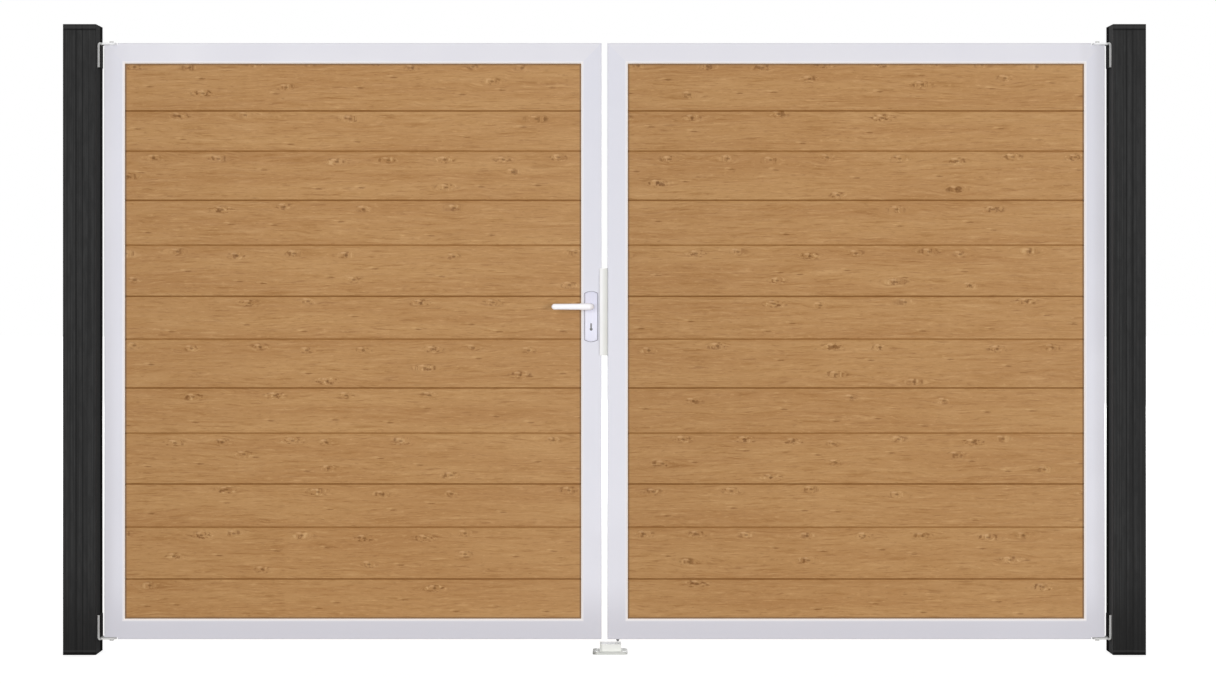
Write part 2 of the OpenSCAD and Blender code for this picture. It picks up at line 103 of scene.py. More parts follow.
def grey(value):
    return rgb(value, value, value)


def shifted(colour, levels):
    """The colour with that many levels added to each of its sRGB values."""
    return rgb(*(c + levels for c in colour))


# ---- shader helpers ----

class Shader:
    """A new material with short calls for making and joining its nodes."""

    def __init__(self, name, **sockets):
        self.material = bpy.data.materials.new(name)
        self.material.use_nodes = True
        self.tree = self.material.node_tree
        self.surface = self.tree.nodes["Principled BSDF"]
        for socket, value in sockets.items():
            self.surface.inputs[socket.replace("_", " ")].default_value = value

    def node(self, kind, **settings):
        made = self.tree.nodes.new(kind)
        for key, value in settings.items():
            setattr(made, key, value)
        return made

    def put(self, value, socket):
        """Sets a socket to a number or colour, or links it to another socket."""
        if isinstance(value, bpy.types.NodeSocket):
            self.tree.links.new(value, socket)
        else:
            socket.default_value = value

    def math(self, operation, a, b=0.0, c=0.0):
        """The result of a Math node."""
        made = self.node("ShaderNodeMath", operation=operation)
        for value, socket in zip((a, b, c), made.inputs):
            self.put(value, socket)
        return made.outputs[0]

    def add(self, a, b):
        return self.math("ADD", a, b)

    def sub(self, a, b):
        return self.math("SUBTRACT", a, b)

    def mul(self, a, b):
        return self.math("MULTIPLY", a, b)

    def coordinates(self, kind="Object"):
        """The object's own coordinates, or its normal, as X, Y and Z."""
        parts = self.node("ShaderNodeSeparateXYZ")
        self.put(self.node("ShaderNodeTexCoord").outputs[kind], parts.inputs[0])
        return parts.outputs[0], parts.outputs[1], parts.outputs[2]

    def vector(self, x, y, z):
        made = self.node("ShaderNodeCombineXYZ")
        for value, socket in zip((x, y, z), made.inputs):
            self.put(value, socket)
        return made.outputs[0]

    def place(self, scale):
        """Object coordinates, scaled along each axis."""
        scaled = self.node("ShaderNodeVectorMath", operation="MULTIPLY")
        self.put(self.node("ShaderNodeTexCoord").outputs["Object"], scaled.inputs[0])
        self.put(scale, scaled.inputs[1])
        return scaled.outputs[0]

    def noise(self, vector, detail, roughness=0.5):
        """Noise at a vector that already holds its scale."""
        made = self.node("ShaderNodeTexNoise")
        self.put(vector, made.inputs["Vector"])
        made.inputs["Scale"].default_value = 1.0
        made.inputs["Detail"].default_value = detail
        made.inputs["Roughness"].default_value = roughness
        return made.outputs["Fac"]

    def even_noise(self, scale, detail):
        """Noise with the same scale along all three axes."""
        return self.noise(self.place((scale, scale, scale)), detail)

    def remap(self, value, low, high, to_low=0.0, to_high=1.0):
        """A smooth step from to_low to to_high, as value goes from low to high."""
        made = self.node("ShaderNodeMapRange", interpolation_type="SMOOTHSTEP")
        for number, socket in zip((value, low, high, to_low, to_high), made.inputs):
            self.put(number, socket)
        return made.outputs[0]

    def mix(self, factor, a, b):
        """Colour a where the factor is 0, and b where it is 1."""
        made = self.node("ShaderNodeMix", data_type="RGBA")
        self.put(factor, made.inputs[0])
        self.put(a, made.inputs[6])
        self.put(b, made.inputs[7])
        return made.outputs[2]

    def layers(self, tone, *pairs):
        """Lays the colour of each pair over the tone in turn, as far as its factor says."""
        for factor, colour in pairs:
            tone = self.mix(factor, tone, colour)
        return tone

    def colour(self, value):
        self.put(value, self.surface.inputs["Base Color"])

    def rough(self, value):
        self.put(value, self.surface.inputs["Roughness"])

    def bump(self, height, strength, distance):
        made = self.node("ShaderNodeBump")
        made.inputs["Strength"].default_value = strength
        made.inputs["Distance"].default_value = distance
        self.put(height, made.inputs["Height"])
        self.put(made.outputs[0], self.surface.inputs["Normal"])


# ---- metals and paints ----

# A face counts as a flank, or as a top, from none to all between these parts of its normal
FLANK = (0.90, 0.97)
TOP_FACE = (0.5, 0.95)
# The frame's painted light fades from its foot's tone to its top's between these heights
FRAME_FADE = (0.3, 1.6)


def from_middle(s):
    """How far a point lies to the side of the gate's middle."""
    return s.math("ABSOLUTE", s.sub(s.coordinates()[0], GATE_X))


def on_right(s):
    """1 on the right half of the gate, 0 on the left."""
    return s.math("GREATER_THAN", s.coordinates()[0], GATE_X)


def facing_up(s):
    """1 on faces that look up."""
    return s.remap(s.coordinates("Normal")[2], *TOP_FACE)


def line(s, value, place, half_width, soft):
    """1 on a line where value is near place, fading to 0 beside it."""
    off = s.math("ABSOLUTE", s.sub(value, place))
    return s.remap(off, half_width + soft, half_width)


def opening_edges(s):
    """The four edges of a leaf's opening: what is measured, where, and the way in to the boards."""
    aside, z = from_middle(s), s.coordinates()[2]
    return ((aside, INNER_X, 1), (aside, OUTER_X, -1),
            (z, OPENING_LOW, 1), (z, OPENING_HIGH, -1))


def post_paint():
    """Matt anthracite: brushed along the post and darker at edges and joints, with painted shade near the ground,
    at the foot and on the cap's top edge, painted highlights on the cap and above the foot, and painted light and
    shadow on the inner flanks.
    """
    s = Shader("post_paint", Roughness=0.9, Specular_IOR_Level=0.005)
    streaks = s.noise(s.place((240, 240, 1.2)), 3)
    scuffs = s.noise(s.place((90, 90, 18)), 3)
    grain = s.noise(s.place((900, 900, 160)), 2)
    x, y, z = s.coordinates()
    outwards = s.sub(from_middle(s), GATE_X)
    flute_edges = line(s, s.math("ABSOLUTE", outwards), FLUTE_HALF, 0.8 * MM, MM)
    cap_highlight = line(s, z, (CAP_Z + POST_TOP) / 2, 3 * MM, 2 * MM)
    cap_joint = line(s, z, CAP_Z, 1.5 * MM, 1.5 * MM)
    foot_highlight = line(s, z, FOOT_Z + 4 * MM, 1.5 * MM, 1.5 * MM)
    inwards = s.mul(s.coordinates("Normal")[0], s.math("SIGN", s.sub(GATE_X, x)))
    flank = s.remap(inwards, *FLANK)
    leaf_shadow = s.remap(y, 3 * MM, 14 * MM)
    s.colour(s.layers(
        s.mix(s.remap(streaks, 0.35, 0.65), grey(48), grey(59)),
        (s.remap(scuffs, 0.35, 0.7, 0, 0.5), grey(43)),
        (s.remap(grain, 0.55, 0.8, 0, 0.3), grey(64)),
        (flute_edges, grey(38)),
        (s.remap(outwards, POST_HALF - 6 * MM, POST_HALF - 2 * MM, 0, 0.7), grey(38)),
        # Painted highlight: a lighter band round the middle of the cap
        (s.mul(cap_highlight, 0.5), grey(62)),
        (s.mul(cap_joint, 0.8), grey(30)),
        # Painted shade along the cap's top edge and towards the ground
        (s.remap(z, POST_TOP - 5 * MM, POST_TOP - 2 * MM, 0, 0.8), grey(34)),
        (s.remap(z, 300 * MM, 0.0, 0, 0.6), grey(32)),
        # Painted highlight just above the foot, and a painted contact shadow at the very foot
        (s.mul(foot_highlight, 0.6), grey(60)),
        (s.remap(z, FOOT_Z + MM, FOOT_Z - MM, 0, 0.7), grey(18)),
        # Painted light on the posts' inner flanks, lighter on the right post, and a painted shadow on their rear
        # part behind the leaf
        (s.mul(flank, 0.8), s.mix(on_right(s), grey(60), grey(84))),
        (s.mul(flank, leaf_shadow), grey(14))))
    s.bump(s.add(grain, streaks), 0.2, 0.4 * MM)
    return s.material


def frame_metal(name, top, foot, side):
    """Satin powder coat with painted light and shade: painted shade makes the bars a little greyer towards the
    posts and the ground, the tone changes with height as painted light, and a painted highlight runs along the
    lips round the boards.

    top, foot and side are its sRGB tones high up, near the ground and beside the posts; the change from foot to
    top is painted light and side is painted shade.
    """
    s = Shader(name, Roughness=0.4, Specular_IOR_Level=0.4)
    cloud = s.even_noise(5, 2)
    _, y, z = s.coordinates()
    # Painted light: the tone changes with height
    risen = s.remap(z, *FRAME_FADE)
    clean = s.mix(risen, rgb(*foot), rgb(*top))
    clean = s.mix(s.remap(cloud, 0.3, 0.7, 0, 0.5), clean, shifted(foot, -5))
    aside = from_middle(s)
    # Painted shade towards the posts on the hinge stiles, lighter high up and on the left leaf
    post_shade_share = s.add(s.remap(aside, LEAF_SPAN - 85 * MM, LEAF_SPAN - 58 * MM, 0, 0.3),
                      s.remap(aside, LEAF_SPAN - 42 * MM, LEAF_SPAN - 12 * MM, 0, 0.7))
    shade = s.mix(risen, shifted(side, 12), s.mix(on_right(s), shifted(side, 13), rgb(*side)))
    # Painted shade near the ground
    ground_shade = s.remap(z, LEAF_LOW.z + 170 * MM, LEAF_LOW.z, 0, 0.9)
    # Painted highlight along the lips round the boards, brightest on their bevels
    lip_highlight = 1.0
    for value, place, way in opening_edges(s):
        lip_highlight = s.mul(lip_highlight, s.remap(value, place - way * 8 * MM, place - way * 5 * MM))
    bevel = s.remap(s.math("ABSOLUTE", y), LEAF_FACE - 0.2 * MM, LEAF_FACE - MM)
    s.colour(s.layers(
        clean,
        (post_shade_share, shade),
        (ground_shade, rgb(204, 203, 211)),
        (lip_highlight, s.mix(bevel, rgb(236, 233, 235), rgb(250, 245, 242)))))
    s.rough(s.remap(cloud, 0.2, 0.8, 0.36, 0.46))
    s.bump(s.even_noise(1500, 1), 0.05, 0.2 * MM)
    return s.material


def bright_metal(name, low, high):
    """A smooth coat, cloudy between two tones."""
    s = Shader(name, Roughness=0.25, Specular_IOR_Level=0.5)
    s.colour(s.mix(s.even_noise(40, 2), rgb(*low), rgb(*high)))
    s.bump(s.even_noise(1500, 1), 0.03, 0.2 * MM)
    return s.material


def plate_metal():
    """The handle plates: lavender above the lever, nearly white below, faintly brushed."""
    s = Shader("plate_metal", Roughness=0.35, Specular_IOR_Level=0.4)
    brushed = s.noise(s.place((450, 450, 6)), 2)
    upper = s.remap(s.coordinates()[2], LEVER.z - 25 * MM, LEVER.z + 20 * MM)
    tone = s.mix(upper, rgb(231, 231, 244), rgb(213, 212, 227))
    tone = s.mix(s.remap(brushed, 0.35, 0.65, 0, 0.35), tone, rgb(220, 222, 244))
    s.colour(tone)
    s.bump(brushed, 0.04, 0.2 * MM)
    return s.material


def grained(s, low, high):
    """Fine-grained galvanised grey between two tones, in s."""
    grain = s.even_noise(700, 2)
    s.bump(grain, 0.06, 0.2 * MM)
    tone = s.mix(s.remap(s.even_noise(25, 3), 0.3, 0.7), rgb(*low), rgb(*high))
    return s.mix(s.remap(grain, 0.55, 0.8, 0, 0.2), tone, shifted(high, 8))


def fitting_metal():
    """Greenish grey of the lock's case, keep and spindle, with painted light making it paler on top."""
    s = Shader("fitting_metal", Roughness=0.65, Specular_IOR_Level=0.15)
    front = grained(s, (222, 224, 218), (229, 230, 225))
    # Painted light on faces that look up
    s.colour(s.mix(facing_up(s), front, rgb(244, 245, 241)))
    return s.material


def receiver_metal():
    """The receiver, with painted light making it pale on top and painted shade at the left ends of its base and
    block.
    """
    s = Shader("receiver_metal", Roughness=0.65, Specular_IOR_Level=0.15)
    x, _, z = s.coordinates()
    on_block = s.remap(z, RECEIVER_BASE_TOP, RECEIVER_BASE_TOP + 2 * MM)
    block_end_shade = s.remap(x, RECEIVER_BLOCK_LEFT + 9 * MM, RECEIVER_BLOCK_LEFT + 4 * MM)
    base_end_shade = s.remap(x, RECEIVER_LOW.x + 14 * MM, RECEIVER_LOW.x + 4 * MM)
    base_front = grained(s, (210, 212, 206), (217, 218, 213))
    front = s.mix(on_block, base_front, rgb(237, 238, 233))
    # Painted light on the tops, brightest on the block's top under the leaf
    top = s.mix(on_block, rgb(230, 231, 227), rgb(253, 253, 251))
    s.colour(s.layers(
        s.mix(facing_up(s), front, top),
        # Painted shade at the left ends of the block and the base
        (s.mul(s.mul(block_end_shade, on_block), 0.8), rgb(200, 201, 196)),
        (base_end_shade, rgb(158, 159, 153))))
    return s.material


def strip_metal():
    """The stop strip, with painted light and shade: white on its left, greyer towards its right."""
    s = Shader("strip_metal", Roughness=0.5, Specular_IOR_Level=0.2)
    low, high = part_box("keep_strip")
    middle = (low.x + high.x) / 2
    x = s.coordinates()[0]
    # Painted light across the strip: white on the left, grey on the right, as if lit from the left
    left = s.mix(s.remap(x, low.x + 5 * MM, middle + 2 * MM), grey(253), rgb(232, 232, 228))
    both = s.mix(s.remap(x, middle, high.x), left, rgb(217, 218, 212))
    s.colour(s.mix(0.15, both, grained(s, (220, 221, 216), (228, 229, 224))))
    return s.material


def strap_metal():
    """Hinge straps: grey on the post, with painted light making the arm paler and painted shade darkening the
    plate where it faces the leaf.
    """
    s = Shader("strap_metal", Roughness=0.8, Specular_IOR_Level=0.01)
    low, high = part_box("left_top_hinge_strap")
    at_post = GATE_X - low.x
    aside = from_middle(s)
    arm_light = s.remap(aside, at_post - 8 * MM, at_post - 14 * MM)
    on_plate = s.remap(aside, at_post - 8 * MM, at_post - 7 * MM)
    leaf_middle = (LEAF_LOW.z + LEAF_HIGH.z) / 2
    up = s.sub(s.coordinates()[2], leaf_middle)
    pin_head = high.z - leaf_middle - 5 * MM
    on_pin_head = s.remap(s.math("ABSOLUTE", up), pin_head, pin_head + MM)
    normal_x, _, normal_z = s.coordinates("Normal")
    flank = s.remap(s.math("ABSOLUTE", normal_x), *FLANK)
    end = s.remap(s.mul(normal_z, s.math("SIGN", up)), -0.4, -0.8)
    s.colour(s.layers(
        grained(s, (208, 208, 206), (218, 218, 216)),
        # Painted light: the arm paler than the rest of the strap
        (arm_light, grey(248)),
        (on_pin_head, rgb(214, 214, 212)),
        # Painted shade on the plate's faces towards the leaf and on its ends facing the leaf
        (s.mul(s.math("MAXIMUM", flank, end), on_plate), grey(24))))
    return s.material


def dark_metal():
    """Dark worn steel of the key cylinder and the drop bolt's guides."""
    s = Shader("dark_metal", Metallic=0.4, Roughness=0.42)
    worn = s.noise(s.place((300, 300, 60)), 3)
    s.colour(s.mix(s.remap(worn, 0.4, 0.7), rgb(80, 80, 82), rgb(112, 112, 114)))
    s.bump(worn, 0.1, 0.2 * MM)
    return s.material


# ---- oak ----

# How far each row's cells start beyond those of the row below, as a share of a cell
CELL_SHIFT = 0.37
# How far each board's grain starts beyond that of the board below, in metres
GRAIN_SHIFT = 0.613


def oak_spots(s, spot, width, level, spread, seed, amount, margin=0.25):
    """One mark in each cell of a row: offsets from its centre, whether it is there, a random.

    spot holds X, the height above the board's lower joint and the board's row. A mark's centre
    lies between level and level + spread, and margin keeps it off the ends of its cell.
    """
    x, rise, row = spot
    shift = s.mul(row, CELL_SHIFT)
    column = s.math("FLOOR", s.add(s.math("DIVIDE", x, width), shift))
    start = s.mul(s.sub(column, shift), width)
    white = s.node("ShaderNodeTexWhiteNoise", noise_dimensions="3D")
    s.put(s.vector(column, row, seed), white.inputs["Vector"])
    dice = s.node("ShaderNodeSeparateColor")
    s.put(white.outputs["Color"], dice.inputs[0])
    across, up, chance = dice.outputs
    span = (1 - 2 * margin) * width
    centre_x = s.add(start, s.math("MULTIPLY_ADD", across, span, margin * width))
    centre_z = s.math("MULTIPLY_ADD", up, spread, level)
    there = s.math("LESS_THAN", chance, amount)
    return s.sub(x, centre_x), s.sub(rise, centre_z), there, across


def oak_lens(s, dx, dz, width, height, there):
    """1 at a mark's centre, falling to 0 over an ellipse of that size."""
    across = s.math("POWER", s.math("ABSOLUTE", s.math("DIVIDE", dx, width)), 2.0)
    up = s.math("POWER", s.math("ABSOLUTE", s.math("DIVIDE", dz, height)), 2.0)
    fall = s.math("EXPONENT", s.mul(s.add(across, up), -1.0))
    return s.mul(fall, there)


def oak():
    """Golden oak: fine grain along X that bends round knots under the planks' edges."""
    s = Shader("oak_board", Roughness=0.5, Specular_IOR_Level=0.2)
    x, y, z = s.coordinates()
    steps = s.math("DIVIDE", s.sub(z, BOARD_JOINTS[0]), PITCH)
    row = s.math("FLOOR", steps)
    rise = s.mul(s.sub(steps, row), PITCH)

    spot = (x, rise, row)
    knots = (
        oak_spots(s, spot, width=170 * MM, level=PITCH - 34 * MM, spread=18 * MM,
                  seed=1.0, amount=0.88),
        oak_spots(s, spot, width=260 * MM, level=96 * MM, spread=20 * MM,
                  seed=2.0, amount=0.75),
        oak_spots(s, spot, width=310 * MM, level=150 * MM, spread=70 * MM,
                  seed=4.0, amount=0.7))
    dashes = (
        oak_spots(s, spot, width=170 * MM, level=20 * MM, spread=55 * MM,
                  seed=3.0, amount=0.8, margin=0.12),
        oak_spots(s, spot, width=160 * MM, level=165 * MM, spread=65 * MM,
                  seed=5.0, amount=0.8, margin=0.12))

    bend = 0.0
    for dx, dz, there, _ in knots:
        bend = s.add(bend, s.mul(oak_lens(s, dx, dz, 50 * MM, 16 * MM, there), s.mul(dz, 0.85)))
    board_x = s.add(x, s.mul(row, GRAIN_SHIFT))
    wave = s.noise(s.vector(s.mul(board_x, 1.6), 0.0, s.mul(z, 11.0)), 2)
    ripple = s.noise(s.vector(s.mul(board_x, 9.0), 0.0, s.mul(z, 40.0)), 2)
    bent = s.sub(s.add(z, s.add(s.mul(wave, 50 * MM), s.mul(ripple, 10 * MM))), bend)

    def grain(along, across, detail, roughness=0.6):
        return s.noise(s.vector(s.mul(board_x, along), 0.0, s.mul(bent, across)), detail, roughness)

    broad = grain(1.2, 18, 3)
    streak = grain(7, 110, 3, 0.7)
    thread = grain(12, 210, 2)
    speckle = grain(38, 240, 2, 0.7)
    fine = grain(18, 700, 2)
    pores = grain(60, 900, 1)
    fleck = grain(24, 190, 2)
    swirl = grain(62, 200, 3, 0.65)

    tone = s.layers(
        s.mix(s.remap(broad, 0.32, 0.68), rgb(171, 125, 74), rgb(182, 138, 86)),
        (s.remap(streak, 0.52, 0.72, 0, 0.6), rgb(152, 106, 55)),
        (s.remap(streak, 0.46, 0.28, 0, 0.6), rgb(196, 152, 98)),
        (s.remap(thread, 0.56, 0.70, 0, 0.6), rgb(144, 98, 49)),
        (s.remap(thread, 0.42, 0.30, 0, 0.5), rgb(199, 156, 103)),
        (s.remap(speckle, 0.54, 0.74, 0, 0.5), rgb(144, 99, 51)),
        (s.remap(speckle, 0.44, 0.28, 0, 0.45), rgb(202, 160, 107)),
        (s.remap(fine, 0.52, 0.75, 0, 0.3), rgb(146, 103, 55)),
        (s.remap(pores, 0.66, 0.78, 0, 0.45), rgb(134, 92, 45)),
        (s.remap(fleck, 0.66, 0.76, 0, 0.5), rgb(130, 90, 40)),
        (s.remap(fleck, 0.33, 0.24, 0, 0.35), rgb(208, 167, 114)))

    mark = rgb(114, 69, 16)
    for dx, dz, there, size in knots:
        reach = s.math("MULTIPLY_ADD", size, 16 * MM, 20 * MM)
        halo = s.mul(s.remap(oak_lens(s, dx, dz, reach, 10.5 * MM, there), 0.08, 0.55),
                     s.math("MULTIPLY_ADD", size, 0.5, 0.6))
        core = oak_lens(s, dx, dz, 7 * MM, 3.5 * MM, there)
        glint = oak_lens(s, s.add(dx, 9 * MM), s.add(dz, -7 * MM), 10 * MM, 3.5 * MM, there)
        tone = s.layers(
            tone,
            (s.mul(halo, s.remap(swirl, 0.50, 0.62, 0, 0.75)), mark),
            (s.mul(halo, s.remap(swirl, 0.44, 0.36, 0, 0.6)), rgb(208, 168, 116)),
            (s.remap(core, 0.25, 0.8, 0, 0.55), rgb(100, 60, 6)),
            (s.remap(glint, 0.2, 0.9, 0, 0.5), rgb(210, 167, 118)))
    for dx, dz, there, _ in dashes:
        wobble = s.add(dz, s.mul(s.sub(swirl, 0.5), 6 * MM))
        dash = oak_lens(s, dx, wobble, 13 * MM, 2.2 * MM, there)
        glint = oak_lens(s, s.add(dx, 14 * MM), s.add(wobble, -4.5 * MM), 11 * MM, 2.2 * MM,
                         there)
        tone = s.layers(
            tone,
            (s.remap(dash, 0.2, 0.9, 0, 0.65), mark),
            (s.remap(glint, 0.2, 0.9, 0, 0.45), rgb(207, 166, 113)))

    # Painted shade in the grooves, stronger in the middle of a board than at its joints, which lie in shade anyway
    off_middle = s.math("ABSOLUTE", s.sub(rise, PITCH / 2))
    groove_shade_share = s.remap(off_middle, PITCH / 2 - 8 * MM, PITCH / 2 - 5 * MM, 0.6, 0.25)
    groove_shade = s.remap(s.math("ABSOLUTE", y), BOARD_FACE - 0.4 * MM, BOARD_FACE - 2.2 * MM)
    # Painted shade along the boards' edges where they meet the frame's lips
    edge_shade = 0.0
    for value, place, way in opening_edges(s):
        near = s.remap(value, place + way * 7 * MM, place + way * 2.5 * MM)
        edge_shade = s.math("MAXIMUM", edge_shade, near)
    # Painted light across each leaf: the boards darken towards its left and lighten towards its right
    across = s.math("FRACT", s.math("DIVIDE", s.sub(x, LEAF_LOW.x), LEAF_SPAN))
    s.colour(s.layers(
        tone,
        (s.mul(groove_shade, groove_shade_share), rgb(120, 74, 26)),
        (s.remap(across, 0.5, 0.0, 0, 0.045), grey(0)),
        (s.remap(across, 0.5, 1.0, 0, 0.045), rgb(230, 190, 140)),
        (s.mul(edge_shade, 0.75), rgb(118, 92, 65))))
    s.rough(s.remap(streak, 0.3, 0.7, 0.46, 0.6))
    s.bump(s.add(fine, streak), 0.15, 0.4 * MM)
    return s.material


FINISH = {
    "post_paint": post_paint(),
    "lever_metal": bright_metal("lever_metal", (250, 248, 252), (253, 251, 254)),
    "fitting_metal": fitting_metal(),
    "dark_metal": dark_metal(),
    "oak_board": oak(),
}
RAIL_METAL = frame_metal("rail_metal", (219, 218, 224), (223, 222, 230), (200, 199, 206))
STILE_METAL = frame_metal("stile_metal", (213, 213, 222), (226, 226, 234), (200, 199, 206))
PLATE_METAL = plate_metal()
STRAP_METAL = strap_metal()
# Dark grey of the rim that paints the shade round the handle plates
SHADE_RIM = bright_metal("shade_rim", (136, 136, 148), (148, 148, 160))
SCREW = bright_metal("screw", (196, 197, 194), (208, 209, 206))
SPECIAL = {
    "front_handle_plate": PLATE_METAL,
    "back_handle_plate": PLATE_METAL,
    "bolt_receiver": receiver_metal(),
    "drop_bolt": bright_metal("bolt_metal", (118, 118, 120), (134, 134, 136)),
    "keep_strip": strip_metal(),
}
for strap in ("left_top", "left_bottom", "right_top", "right_bottom"):
    SPECIAL[strap + "_hinge_strap"] = STRAP_METAL


def dress(piece, material):
    """Gives a piece that one material."""
    piece.data.materials.clear()
    piece.data.materials.append(material)


for entry in frame["record"]["subparts"]:
    name, slot_name = entry["node"], entry["material_slot"]
    if slot_name == "frame_metal":
        dress(nodes[name], RAIL_METAL if name.endswith("rail") else STILE_METAL)
    else:
        dress(nodes[name], SPECIAL.get(name, FINISH[slot_name]))


# ---- mesh helpers ----

# Edges that bend less than this are shaded smooth
SMOOTH_BELOW = math.radians(35)


def ringed(mesh, rings):
    """Joins rings with the same number of points into a tube; gives their loops of vertices."""
    loops = [[mesh.verts.new(p) for p in ring] for ring in rings]
    count = len(loops[0])
    for low, high in zip(loops, loops[1:]):
        for i in range(count):
            j = (i + 1) % count
            mesh.faces.new((low[i], low[j], high[j], high[i]))
    return loops


def fill(mesh, loops):
    """Closes a flat area that has the first loop outside and the others as holes."""
    edges = []
    for loop in loops:
        for i, vertex in enumerate(loop):
            edges.append(mesh.edges.get((vertex, loop[i - 1])) or
                         mesh.edges.new((vertex, loop[i - 1])))
    bmesh.ops.triangle_fill(mesh, use_beauty=True, use_dissolve=False, edges=edges)


def finished(mesh, name, body, slot_name, material=None):
    """Turns the built mesh into a piece of the gate that rides on its body."""
    bmesh.ops.recalc_face_normals(mesh, faces=mesh.faces)
    for edge in mesh.edges:
        edge.smooth = len(edge.link_faces) == 2 and edge.calc_face_angle(0) < SMOOTH_BELOW
    for face in mesh.faces:
        face.smooth = True
    data = bpy.data.meshes.new(name)
    mesh.to_mesh(data)
    mesh.free()
    made = bpy.data.objects.new(name, data)
    bpy.context.scene.collection.objects.link(made)
    dress(made, material or FINISH[slot_name])
    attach(made, body)
    return made


def loft(name, rings, body, slot_name, material=None):
    """A closed piece through rings that all have the same number of points."""
    mesh = bmesh.new()
    loops = ringed(mesh, rings)
    mesh.faces.new(loops[0][::-1])
    mesh.faces.new(loops[-1])
    return finished(mesh, name, body, slot_name, material)


def oval(centre, side, up, half_side, half_up, power=2.0, count=40):
    """A ring round centre: a circle or ellipse at power 2, squarer above that."""
    ring = []
    for i in range(count):
        a = 2 * math.pi * i / count
        c, s = math.cos(a), math.sin(a)
        ring.append(centre
                    + side * math.copysign(abs(c) ** (2 / power), c) * half_side
                    + up * math.copysign(abs(s) ** (2 / power), s) * half_up)
    return ring


def hexagon(centre, side, up, across, count):
    """A hexagonal ring with count points, across its flats."""
    ring = []
    for i in range(count):
        a = 2 * math.pi * i / count
        off = (a + math.pi / 6) % (math.pi / 3) - math.pi / 6
        r = across / 2 / math.cos(off)
        ring.append(centre + side * math.cos(a) * r + up * math.sin(a) * r)
    return ring


# ---- levers and handle plates ----

def lever(name, node, out):
    """A tube that rises from the plate, bends and ends in a rounded grip towards the hinges."""
    low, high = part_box(node)
    reach = max(abs(low.y), abs(high.y))
    length = LEVER.x - low.x
    grip_t, neck_r, bend_r, end_r = 14 * MM, 9 * MM, 10 * MM, 9 * MM
    end_thick, end_tall, squareness = 6.5 * MM, 8.8 * MM, 2.6
    bend_steps, end_steps = 10, 6
    middle = reach - grip_t / 2
    rings = [oval(LEVER + out * (LEAF_FACE + 0.6 * MM), LEFT, UP, neck_r, neck_r)]
    for step in range(bend_steps + 1):
        share = step / bend_steps
        a = math.radians(90) * share
        spot = LEVER + out * (middle - bend_r + bend_r * math.sin(a))
        spot += LEFT * bend_r * (1 - math.cos(a))
        across = LEFT * math.cos(a) - out * math.sin(a)
        thick = neck_r + (grip_t / 2 - neck_r) * share
        rings.append(oval(spot, across, UP, thick, neck_r + MM * share,
                          2 + (squareness - 2) * share))
    for far, thick, tall in ((26 * MM, 7 * MM, 10 * MM), (32 * MM, 7 * MM, 10 * MM),
                             (35 * MM, 6.6 * MM, 9.1 * MM), (60 * MM, 6.6 * MM, 9.0 * MM),
                             (90 * MM, 6.6 * MM, 8.9 * MM), (length - end_r, end_thick, end_tall)):
        rings.append(oval(LEVER + out * middle + LEFT * far, -out, UP, thick, tall, squareness))
    for step in range(1, end_steps + 1):
        a = math.radians(90) * step / end_steps
        spot = LEVER + out * middle + LEFT * (length - end_r + end_r * math.sin(a))
        shrink = max(math.cos(a), 0.05)
        rings.append(oval(spot, -out, UP, end_thick * shrink, end_tall * shrink, squareness))
    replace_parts(loft(name, rings, "lever", "lever_metal"), node)


def plate_outline(low, high, grow, y):
    """The handle plate's outline with arched ends, grown outwards, at a depth y."""
    half_w = (high.x - low.x) / 2 + grow
    half_h = (high.z - low.z) / 2 + grow
    arch, steps = 6 * MM, 14
    crowding = 0.8  # below 1, the points lie closer together towards the corners
    centre = (low + high) / 2
    ring = []
    for way in (1, -1):
        for i in range(steps + 1):
            t = 1 - 2 * i / steps
            x = half_w * math.copysign(abs(t) ** crowding, t) * way
            z = (half_h - arch * (x / half_w) ** 2) * way
            ring.append(Vector((centre.x + x, y, centre.z + z)))
    return ring


def keyhole(y):
    """The keyhole's outline: round below, with its slot above."""
    low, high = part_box("key_cylinder")
    r = (high.x - low.x) / 2
    centre_z = low.z + r
    slot_half = 2.5 * MM
    open_a = math.asin(slot_half / r)
    steps = 20
    ring = []
    for i in range(steps + 1):
        a = math.pi / 2 + open_a + (2 * math.pi - 2 * open_a) * i / steps
        ring.append(Vector((LEVER.x + r * math.cos(a), y, centre_z + r * math.sin(a))))
    for x in (slot_half, -slot_half):
        ring.append(Vector((LEVER.x + x, y, high.z)))
    return ring


